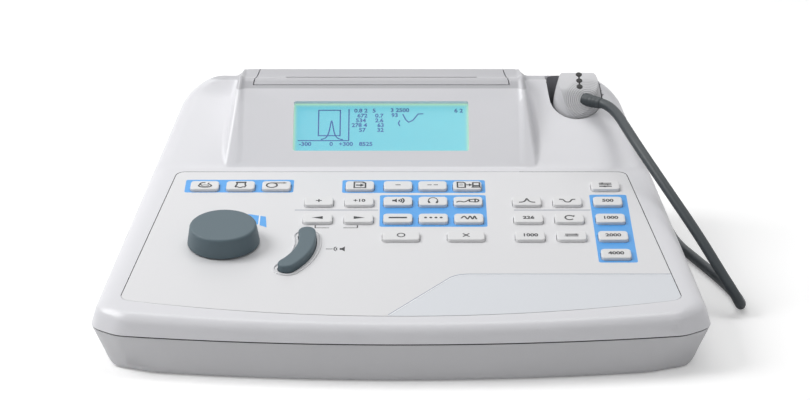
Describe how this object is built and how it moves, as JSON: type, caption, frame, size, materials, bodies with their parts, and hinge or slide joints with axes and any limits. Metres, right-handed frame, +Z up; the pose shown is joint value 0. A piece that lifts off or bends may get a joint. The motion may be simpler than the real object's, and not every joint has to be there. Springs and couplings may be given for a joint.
{
  "type": "tympanometer",
  "caption": "Desktop screening tympanometer with a keyed panel, display, level knob, tone bar, paper printer and a corded ear probe in a cradle.",
  "frame": {"origin": "on the table, under the middle of the case", "axes": "+X to the user's right, along the width; +Y to the back; +Z up"},
  "size_m": [0.4045, 0.4169, 0.109],
  "materials": {
    "case_plastic": "moulded ABS, light grey, fine spark texture",
    "fascia": "printed polycarbonate sheet, pale grey, smooth",
    "window_clear": "clear acrylic",
    "lcd": "lit graphic display in a dark frame",
    "key_white": "white moulded key caps",
    "control_grey": "blue-grey moulded plastic",
    "rubber": "black rubber",
    "cable_grey": "soft grey PVC sheath",
    "probe_plastic": "light grey moulded plastic",
    "lamp": "dark indicator lenses, unlit",
    "board": "green printed board",
    "steel": "zinc-plated steel",
    "paper": "white thermal paper",
    "connector": "black moulded connector"
  },
  "bodies": {
    "base": {"upper_case": "case_plastic", "lower_case": "case_plastic", "keypad_overlay": "fascia", "display_window": "window_clear", "lcd_module": "lcd", "knob_encoder": "steel", "key_board": "board", "key_switches": "connector", "printer_mechanism": "connector", "probe_socket": "steel", "phone_jacks": "connector", "power_inlet": "connector", "main_board": "board", "air_pump": "steel", "case_screws": "steel", "rubber_feet": "rubber", "probe_cable_run": "cable_grey", "probe_cable_coil": "cable_grey", "probe_cable_tail": "cable_grey", "probe_plug": "connector"},
    "level_knob": {"attenuator_knob": "control_grey", "knob_shaft": "steel"},
    "tone_bar": {"present_bar": "control_grey"},
    "paper_lid": {"printer_cover": "case_plastic"},
    "feed_roller": {"platen_roller": "rubber"},
    "paper": {"paper_roll": "paper"},
    "probe": {"probe_handle": "probe_plastic", "probe_nose": "probe_plastic", "probe_lamps": "lamp", "probe_strain_relief": "cable_grey"},
    "key_audiometry_cap": {"key_audiometry": "key_white"},
    "key_contralateral_cap": {"key_contralateral": "key_white"},
    "key_data_transfer_cap": {"key_data_transfer": "key_white"},
    "key_ear_left_cap": {"key_ear_left": "key_white"},
    "key_ear_right_cap": {"key_ear_right": "key_white"},
    "key_erase_cap": {"key_erase": "key_white"},
    "key_insert_cap": {"key_insert": "key_white"},
    "key_ipsilateral_cap": {"key_ipsilateral": "key_white"},
    "key_left_cap": {"key_left": "key_white"},
    "key_level_boost_cap": {"key_level_boost": "key_white"},
    "key_memory_clear_cap": {"key_memory_clear": "key_white"},
    "key_memory_clear_all_cap": {"key_memory_clear_all": "key_white"},
    "key_memory_store_cap": {"key_memory_store": "key_white"},
    "key_page_cap": {"key_page": "key_white"},
    "key_paper_feed_cap": {"key_paper_feed": "key_white"},
    "key_phones_cap": {"key_phones": "key_white"},
    "key_print_cap": {"key_print": "key_white"},
    "key_probe_1000_cap": {"key_probe_1000": "key_white"},
    "key_probe_226_cap": {"key_probe_226": "key_white"},
    "key_program_cap": {"key_program": "key_white"},
    "key_pulsed_tone_cap": {"key_pulsed_tone": "key_white"},
    "key_reflex_cap": {"key_reflex": "key_white"},
    "key_right_cap": {"key_right": "key_white"},
    "key_steady_tone_cap": {"key_steady_tone": "key_white"},
    "key_tone_1000_cap": {"key_tone_1000": "key_white"},
    "key_tone_2000_cap": {"key_tone_2000": "key_white"},
    "key_tone_4000_cap": {"key_tone_4000": "key_white"},
    "key_tone_500_cap": {"key_tone_500": "key_white"},
    "key_tympanogram_cap": {"key_tympanogram": "key_white"},
    "key_warble_cap": {"key_warble": "key_white"}
  },
  "joints": [
    {"name": "probe_lift", "type": "slide", "parent": "base", "child": "probe", "axis": [0, 0, 1], "range_m": [0, 0.12]},
    {"name": "paper_lid_hinge", "type": "hinge", "parent": "base", "child": "paper_lid", "pos_m": [-0.0138, 0.14179, 0.06], "axis": [-1, 0, 0], "range_deg": [0, 88]},
    {"name": "level_knob_turn", "type": "hinge", "parent": "base", "child": "level_knob", "pos_m": [-0.112, -0.0428, 0.04804], "axis": [0, -0.1323, 0.9912], "continuous": true},
    {"name": "tone_bar_press", "type": "slide", "parent": "base", "child": "tone_bar", "axis": [0, 0.1323, -0.9912], "range_m": [0, 0.0014], "stiffness_N_per_m": 900, "springref_m": -0.0005},
    {"name": "feed_roller_turn", "type": "hinge", "parent": "base", "child": "feed_roller", "pos_m": [-0.0138, 0.1207, 0.0972], "axis": [1, 0, 0], "continuous": true},
    {"name": "paper_turn", "type": "hinge", "parent": "base", "child": "paper", "pos_m": [-0.0138, 0.1195, 0.0517], "axis": [1, 0, 0], "continuous": true},
    {"name": "key_audiometry_press", "type": "slide", "parent": "base", "child": "key_audiometry_cap", "axis": [0, 0.1323, -0.9912], "range_m": [0, 0.0012], "stiffness_N_per_m": 800, "springref_m": -0.0004},
    {"name": "key_contralateral_press", "type": "slide", "parent": "base", "child": "key_contralateral_cap", "axis": [0, 0.1323, -0.9912], "range_m": [0, 0.0012], "stiffness_N_per_m": 800, "springref_m": -0.0004},
    {"name": "key_data_transfer_press", "type": "slide", "parent": "base", "child": "key_data_transfer_cap", "axis": [0, 0.1323, -0.9912], "range_m": [0, 0.0012], "stiffness_N_per_m": 800, "springref_m": -0.0004},
    {"name": "key_ear_left_press", "type": "slide", "parent": "base", "child": "key_ear_left_cap", "axis": [0, 0.1323, -0.9912], "range_m": [0, 0.0012], "stiffness_N_per_m": 800, "springref_m": -0.0004},
    {"name": "key_ear_right_press", "type": "slide", "parent": "base", "child": "key_ear_right_cap", "axis": [0, 0.1323, -0.9912], "range_m": [0, 0.0012], "stiffness_N_per_m": 800, "springref_m": -0.0004},
    {"name": "key_erase_press", "type": "slide", "parent": "base", "child": "key_erase_cap", "axis": [0, 0.1323, -0.9912], "range_m": [0, 0.0012], "stiffness_N_per_m": 800, "springref_m": -0.0004},
    {"name": "key_insert_press", "type": "slide", "parent": "base", "child": "key_insert_cap", "axis": [0, 0.1323, -0.9912], "range_m": [0, 0.0012], "stiffness_N_per_m": 800, "springref_m": -0.0004},
    {"name": "key_ipsilateral_press", "type": "slide", "parent": "base", "child": "key_ipsilateral_cap", "axis": [0, 0.1323, -0.9912], "range_m": [0, 0.0012], "stiffness_N_per_m": 800, "springref_m": -0.0004},
    {"name": "key_left_press", "type": "slide", "parent": "base", "child": "key_left_cap", "axis": [0, 0.1323, -0.9912], "range_m": [0, 0.0012], "stiffness_N_per_m": 800, "springref_m": -0.0004},
    {"name": "key_level_boost_press", "type": "slide", "parent": "base", "child": "key_level_boost_cap", "axis": [0, 0.1323, -0.9912], "range_m": [0, 0.0012], "stiffness_N_per_m": 800, "springref_m": -0.0004},
    {"name": "key_memory_clear_press", "type": "slide", "parent": "base", "child": "key_memory_clear_cap", "axis": [0, 0.1323, -0.9912], "range_m": [0, 0.0012], "stiffness_N_per_m": 800, "springref_m": -0.0004},
    {"name": "key_memory_clear_all_press", "type": "slide", "parent": "base", "child": "key_memory_clear_all_cap", "axis": [0, 0.1323, -0.9912], "range_m": [0, 0.0012], "stiffness_N_per_m": 800, "springref_m": -0.0004},
    {"name": "key_memory_store_press", "type": "slide", "parent": "base", "child": "key_memory_store_cap", "axis": [0, 0.1323, -0.9912], "range_m": [0, 0.0012], "stiffness_N_per_m": 800, "springref_m": -0.0004},
    {"name": "key_page_press", "type": "slide", "parent": "base", "child": "key_page_cap", "axis": [0, 0.1323, -0.9912], "range_m": [0, 0.0012], "stiffness_N_per_m": 800, "springref_m": -0.0004},
    {"name": "key_paper_feed_press", "type": "slide", "parent": "base", "child": "key_paper_feed_cap", "axis": [0, 0.1323, -0.9912], "range_m": [0, 0.0012], "stiffness_N_per_m": 800, "springref_m": -0.0004},
    {"name": "key_phones_press", "type": "slide", "parent": "base", "child": "key_phones_cap", "axis": [0, 0.1323, -0.9912], "range_m": [0, 0.0012], "stiffness_N_per_m": 800, "springref_m": -0.0004},
    {"name": "key_print_press", "type": "slide", "parent": "base", "child": "key_print_cap", "axis": [0, 0.1323, -0.9912], "range_m": [0, 0.0012], "stiffness_N_per_m": 800, "springref_m": -0.0004},
    {"name": "key_probe_1000_press", "type": "slide", "parent": "base", "child": "key_probe_1000_cap", "axis": [0, 0.1323, -0.9912], "range_m": [0, 0.0012], "stiffness_N_per_m": 800, "springref_m": -0.0004},
    {"name": "key_probe_226_press", "type": "slide", "parent": "base", "child": "key_probe_226_cap", "axis": [0, 0.1323, -0.9912], "range_m": [0, 0.0012], "stiffness_N_per_m": 800, "springref_m": -0.0004},
    {"name": "key_program_press", "type": "slide", "parent": "base", "child": "key_program_cap", "axis": [0, 0.1323, -0.9912], "range_m": [0, 0.0012], "stiffness_N_per_m": 800, "springref_m": -0.0004},
    {"name": "key_pulsed_tone_press", "type": "slide", "parent": "base", "child": "key_pulsed_tone_cap", "axis": [0, 0.1323, -0.9912], "range_m": [0, 0.0012], "stiffness_N_per_m": 800, "springref_m": -0.0004},
    {"name": "key_reflex_press", "type": "slide", "parent": "base", "child": "key_reflex_cap", "axis": [0, 0.1323, -0.9912], "range_m": [0, 0.0012], "stiffness_N_per_m": 800, "springref_m": -0.0004},
    {"name": "key_right_press", "type": "slide", "parent": "base", "child": "key_right_cap", "axis": [0, 0.1323, -0.9912], "range_m": [0, 0.0012], "stiffness_N_per_m": 800, "springref_m": -0.0004},
    {"name": "key_steady_tone_press", "type": "slide", "parent": "base", "child": "key_steady_tone_cap", "axis": [0, 0.1323, -0.9912], "range_m": [0, 0.0012], "stiffness_N_per_m": 800, "springref_m": -0.0004},
    {"name": "key_tone_1000_press", "type": "slide", "parent": "base", "child": "key_tone_1000_cap", "axis": [0, 0.1323, -0.9912], "range_m": [0, 0.0012], "stiffness_N_per_m": 800, "springref_m": -0.0004},
    {"name": "key_tone_2000_press", "type": "slide", "parent": "base", "child": "key_tone_2000_cap", "axis": [0, 0.1323, -0.9912], "range_m": [0, 0.0012], "stiffness_N_per_m": 800, "springref_m": -0.0004},
    {"name": "key_tone_4000_press", "type": "slide", "parent": "base", "child": "key_tone_4000_cap", "axis": [0, 0.1323, -0.9912], "range_m": [0, 0.0012], "stiffness_N_per_m": 800, "springref_m": -0.0004},
    {"name": "key_tone_500_press", "type": "slide", "parent": "base", "child": "key_tone_500_cap", "axis": [0, 0.1323, -0.9912], "range_m": [0, 0.0012], "stiffness_N_per_m": 800, "springref_m": -0.0004},
    {"name": "key_tympanogram_press", "type": "slide", "parent": "base", "child": "key_tympanogram_cap", "axis": [0, 0.1323, -0.9912], "range_m": [0, 0.0012], "stiffness_N_per_m": 800, "springref_m": -0.0004},
    {"name": "key_warble_press", "type": "slide", "parent": "base", "child": "key_warble_cap", "axis": [0, 0.1323, -0.9912], "range_m": [0, 0.0012], "stiffness_N_per_m": 800, "springref_m": -0.0004}
  ]
}
